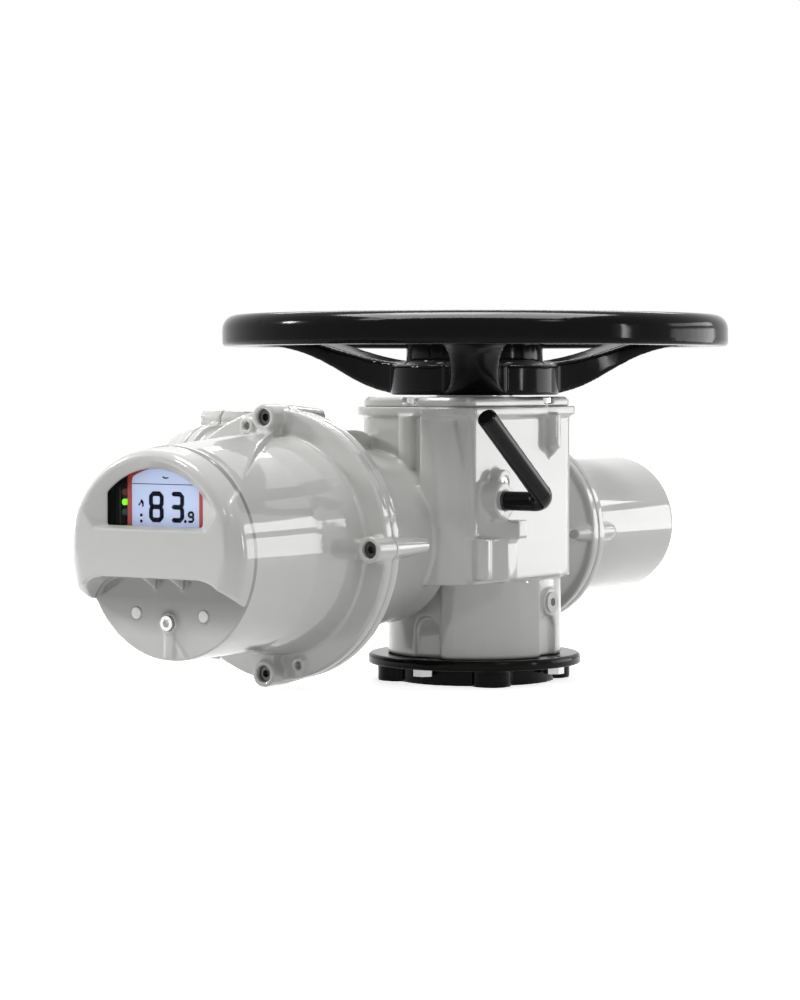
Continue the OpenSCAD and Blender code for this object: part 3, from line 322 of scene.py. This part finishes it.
finishes = {
    "grey_paint": enamel("lightGreyEnamel", greyPaint, shadeCover),
    "black_paint": enamel("glossBlackPaint", blackPaint),
    "black_grip": moulding("blackGrip", (0.003, 0.003, 0.0035), (0.006, 0.006, 0.0065), 0.10, 300.0, 0.00001,
                           specularIorLevel=0.12),
    "zinc_steel": metal("platedSteel", (0.52, 0.52, 0.53), (0.72, 0.72, 0.73), 0.28),
    "bare_steel": metal("machinedSteel", (0.38, 0.38, 0.39), (0.55, 0.55, 0.56), 0.32),
    "bronze": metal("machinedBronze", (0.46, 0.30, 0.12), (0.62, 0.44, 0.20), 0.32),
    "seal_rubber": moulding("sealRubber", (0.012, 0.012, 0.012), (0.02, 0.02, 0.02), 0.6),
    "window": glassPane(),
    "lcd": litPanel(),
    "red_plastic": moulding("redSurround", (0.42, 0.035, 0.02), (0.52, 0.05, 0.03), 0.35),
    "lamp_plastic": lampRow(),
    "dark_plastic": moulding("blackMoulding", (0.004, 0.004, 0.0045), (0.008, 0.008, 0.009), 0.4,
                             specularIorLevel=0.15),
    "white_plastic": moulding("whiteCap", (0.92, 0.92, 0.91), (0.96, 0.96, 0.95), 0.4),
    "green_board": moulding("circuitBoard", (0.02, 0.10, 0.04), (0.03, 0.16, 0.07), 0.45),
    "dark_screw": metal("darkenedScrews", (0.05, 0.05, 0.05), (0.12, 0.12, 0.12), 0.3),
    "strip_grey": moulding("stripGrey", (0.05, 0.05, 0.05), (0.08, 0.08, 0.08), 0.4),
    "display_ink": moulding("displayInk", (0.002, 0.002, 0.010), (0.003, 0.003, 0.016), 0.5, specularIorLevel=0.05),
    "copper": metal("woundCopper", (0.55, 0.26, 0.12), (0.75, 0.40, 0.20), 0.35, (1, 30, 1)),
}

dressedAs = {  # nodes that look unlike the slot in their record
    "display_cover_screws": "dark_screw",
    "oil_plug": "grey_paint",
    "base_screws": "bare_steel",
    "conduit_adaptor_large": "zinc_steel",
    "conduit_adaptor_front": "zinc_steel",
    "conduit_adaptor_rear": "zinc_steel",
}

for part in frame["record"]["subparts"]:
    mesh = nodes[part["node"]].data
    mesh.materials.clear()
    mesh.materials.append(finishes[dressedAs.get(part["node"], part["material_slot"])])
print("finishes made:", len(finishes))


casting = {  # voxel size in metres, smoothing passes, share of faces kept
    "gearcase": (0.0014, 3, 0.35),
    "display_cover": (0.0011, 7, 0.35),
    "motor_cover": (0.0014, 3, 0.35),
    "terminal_cover": (0.0020, 6, 0.30),
    "top_cap": (0.0012, 3, 0.30),
    "thrust_base": (0.0014, 3, 0.30),
    "handwheel": (0.0016, 10, 0.30),
}


def castEdges(o, voxel, passes, keep):  # the soft corners that a casting has
    m = o.modifiers.new("remesh", "REMESH")
    m.mode, m.voxel_size, m.use_smooth_shade = "VOXEL", voxel, True
    m = o.modifiers.new("soften", "SMOOTH")
    m.factor, m.iterations = 0.5, passes
    m = o.modifiers.new("lighten", "DECIMATE")
    m.ratio = keep


def machinedEdges(o, sharpFrom=30):  # degrees
    for p in o.data.polygons:
        p.use_smooth = True
    o.data.set_sharp_from_angle(angle=math.radians(sharpFrom))


for name, o in nodes.items():
    if name in casting:
        castEdges(o, *casting[name])
    else:
        machinedEdges(o)
print("castings softened")


def onCover(x, z, depth):  # a point of the cover, in mm from its axis and in metres in front of the joint
    return Vector((cover["x"] + x / 1000, cover["joint"] - depth, cover["z"] + z / 1000))


def meshPiece(name, bm, body, finish):
    bmesh.ops.recalc_face_normals(bm, faces=bm.faces)
    o = addMesh(name, bm, finishes[finish])
    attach(o, body)


def addOutline(bm, outline, depth, thick):  # a flat shape of the display, drawn in mm
    front = [bm.verts.new(onCover(x, z, depth + thick)) for x, z in outline]
    rear = [bm.verts.new(onCover(x, z, depth)) for x, z in outline]
    bm.faces.new(front)
    bm.faces.new(rear[::-1])
    for i in range(len(outline)):
        j = (i + 1) % len(outline)
        bm.faces.new((front[i], rear[i], rear[j], front[j]))


readout = {  # each digit's left edge, foot, width, height and stroke, in mm
    "digits": [("8", -15.3, 24.7, 14.7, 24.6, 3.8), ("3", 7.4, 24.9, 12.6, 24.5, 3.8),
               ("9", 23.8, 25.2, 6.2, 9.1, 1.8)],
    "dots": [(21.2, 26.1, 1.3), (-23.3, 30.1, 1.3), (-23.3, 25.3, 1.3)],  # centre and radius
    "dotSides": 12,
    "hook": [(-26.4, 38.4), (-24.2, 40.4), (-23.6, 42.4), (-22.6, 42.6), (-20.9, 40.4), (-20.9, 37.6),
             (-22.2, 36.2), (-22.3, 38.6), (-22.9, 40.0), (-24.0, 39.3), (-25.4, 37.4)],
    "dash": [(-1.6, 61.4), (1.2, 60.4), (4.4, 60.8), (4.2, 59.8), (1.0, 59.3), (-1.4, 60.2)],
    "rule": [(-32.6, 54.7), (34.0, 54.7), (34.0, 55.3), (-32.6, 55.3)],
    "strip": [(-49.6, 22.0), (-48.8, 22.0), (-48.8, 52.0), (-49.6, 52.0)],
    "stripBack": 0.005,      # how far the strip lies behind the panel, in metres
    "thick": 0.0003,
    "corner": 0.95,          # cut corners, inner corners, notches and waist, as shares of the stroke
    "innerCorner": 0.22,
    "notch": 0.5,
    "waist": 0.36,
    "tailTip": 0.4,
}


def strokeCuts(h, t):  # corner, inner corner, notch, half height, half stroke
    return t * readout["corner"], t * readout["innerCorner"], t * readout["notch"], h / 2, t / 2


def strokeHalf(w, h, t):  # right half of an 8, from its centre line
    c, ci, k, m, u = strokeCuts(h, t)
    p = t * readout["waist"]
    return [(w / 2, h), (w - c, h), (w, h - c), (w, m + k), (w - p, m), (w, m - k), (w, c), (w - c, 0),
            (w / 2, 0), (w / 2, t), (w - t - ci, t), (w - t, t + ci), (w - t, m - u - ci), (w - t - ci, m - u),
            (w / 2, m - u), (w / 2, m + u), (w - t - ci, m + u), (w - t, m + u + ci), (w - t, h - t - ci),
            (w - t - ci, h - t), (w / 2, h - t)]


def strokeLeft(kind, w, h, t):
    c, ci, k, m, u = strokeCuts(h, t)
    if kind == "8":
        return [[(w - x, z) for x, z in strokeHalf(w, h, t)]]
    if kind == "9":
        loop = [(w / 2, h), (c, h), (0, h - c), (0, m - u + c), (c, m - u), (w / 2, m - u), (w / 2, m + u),
                (t + ci, m + u), (t, m + u + ci), (t, h - t - ci), (t + ci, h - t), (w / 2, h - t)]
        tail = [(w / 2, 0), (k, 0), (k * readout["tailTip"], u), (k, t), (w / 2, t)]
        return [loop, tail]
    return [[(w / 2, z - u), (k, z - u), (0, z - u + k), (0, z + u - k), (k, z + u), (w / 2, z + u)]
            for z in (u, m, h - u)]


def makeReadout():
    thick = readout["thick"]
    turns = [2 * math.pi * i / readout["dotSides"] for i in range(readout["dotSides"])]
    bm = bmesh.new()
    for kind, x, z, w, h, t in readout["digits"]:
        for outline in [strokeHalf(w, h, t)] + strokeLeft(kind, w, h, t):
            addOutline(bm, [(x + a, z + b) for a, b in outline], cover["lcd"], thick)
    for x, z, r in readout["dots"]:
        addOutline(bm, [(x + r * math.cos(a), z + r * math.sin(a)) for a in turns], cover["lcd"], thick)
    for mark in ("hook", "dash"):
        addOutline(bm, readout[mark], cover["lcd"], thick)
    meshPiece("readout_marks", bm, "housing", "display_ink")
    bm = bmesh.new()
    addOutline(bm, readout["rule"], cover["lcd"], thick / 2)
    meshPiece("readout_rule", bm, "housing", "display_ink")
    bm = bmesh.new()
    addOutline(bm, readout["strip"], cover["lcd"] - readout["stripBack"], thick)
    meshPiece("readout_strip", bm, "housing", "strip_grey")


makeReadout()
print("readout made")

stage = {
    "white": 1.0,            # what camera, glossy and transmission rays see
    "dome": 0.28,            # what lights the object
    "floorLift": 0.82,
    "floorDark": (0.64, 0.64, 0.64),
    "floorLight": (0.66, 0.66, 0.66),
    "floorRadius": 20.0,
    "floorTop": -0.0002,
}


def makeBackdrop():
    scene.world = bpy.data.worlds.new("studio")
    scene.world.use_nodes = True
    t = Tree(scene.world.node_tree)
    dome, back = (t.node("ShaderNodeBackground", {}, {"Color": rgb(1, 1, 1), "Strength": stage[k]})
                  for k in ("dome", "white"))
    mixed = t.node("ShaderNodeMixShader", {}, {0: t.seenWhite(), 1: dome, 2: back})
    t.node("ShaderNodeOutputWorld", {}, {"Surface": mixed})


def makeFloor():
    f = Finish("paleFloor", roughness=0.7)
    f.feed(baseColor=f.mixColour(f.noise(3.0), rgb(*stage["floorDark"]), rgb(*stage["floorLight"])))
    glow = f.node("ShaderNodeEmission", {}, {"Strength": stage["floorLift"]})
    both = f.node("ShaderNodeAddShader", {}, {0: f.surface, 1: glow})
    mixed = f.node("ShaderNodeMixShader", {}, {0: f.seenWhite(), 1: f.surface, 2: both})
    bm = bmesh.new()
    bmesh.ops.create_circle(bm, cap_ends=True, segments=64, radius=stage["floorRadius"])
    floor = addMesh("floor", bm, f.done(mixed))
    floor.location.z = stage["floorTop"]


makeBackdrop()
makeFloor()

lights = {  # where, what it aims at, width, height, watts, whether it lights as well as shines
    "pane": ((0.76, 0.96, 0.190), (0.05, -0.18, 0.190), 0.80, 0.36, 3.9, False),
    "highPane": ((0.76, 0.96, 0.56), (0.05, -0.18, 0.56), 0.80, 0.18, 2.2, False),
    "strip": ((1.70, 0.25, 0.42), (0, 0, 0.25), 0.07, 0.5, 4.6, False),
    "key": ((2.3, -0.9, 1.9), (0, 0, 0.15), 0.4, 0.4, 8, True),
    "top": ((-0.3, -0.1, 2.6), (0, 0, 0.2), 1.0, 1.0, 40, True),
    "front": ((-0.7, -1.9, 2.1), (-0.04, -0.3, 0.15), 0.4, 0.4, 11, True),
    "left": ((-1.66, -1.02, 1.06), (0, 0, 0.2), 0.26, 0.26, 19, True),
    "rear": ((-1.20, 1.90, 1.62), (0, 0, 0.3), 1.7, 0.22, 8, False),
    "overhead": ((0.18, -0.285, 1.595), (0.12, -0.19, 0.3), 1.8, 1.3, 220, False),
}
mirroredBy = {"overhead": "handwheel"}  # a lamp that one node alone shows


def makeLights():
    for name, (at, aim, w, h, watts, lit) in lights.items():
        data = bpy.data.lights.new(name, "AREA")
        data.shape, data.size, data.size_y, data.energy = "RECTANGLE", w, h, watts
        o = addObject(name, data)
        o.location = at
        o.rotation_euler = (Vector(aim) - Vector(at)).to_track_quat("-Z", "Y").to_euler()
        o.visible_camera = False
        o.visible_diffuse = lit
        if name in mirroredBy:
            only = bpy.data.collections.new(name + "Mirror")
            only.objects.link(nodes[mirroredBy[name]])
            o.light_linking.receiver_collection = only


makeLights()
scene.view_settings.view_transform = "Standard"
print("stage and lights made")
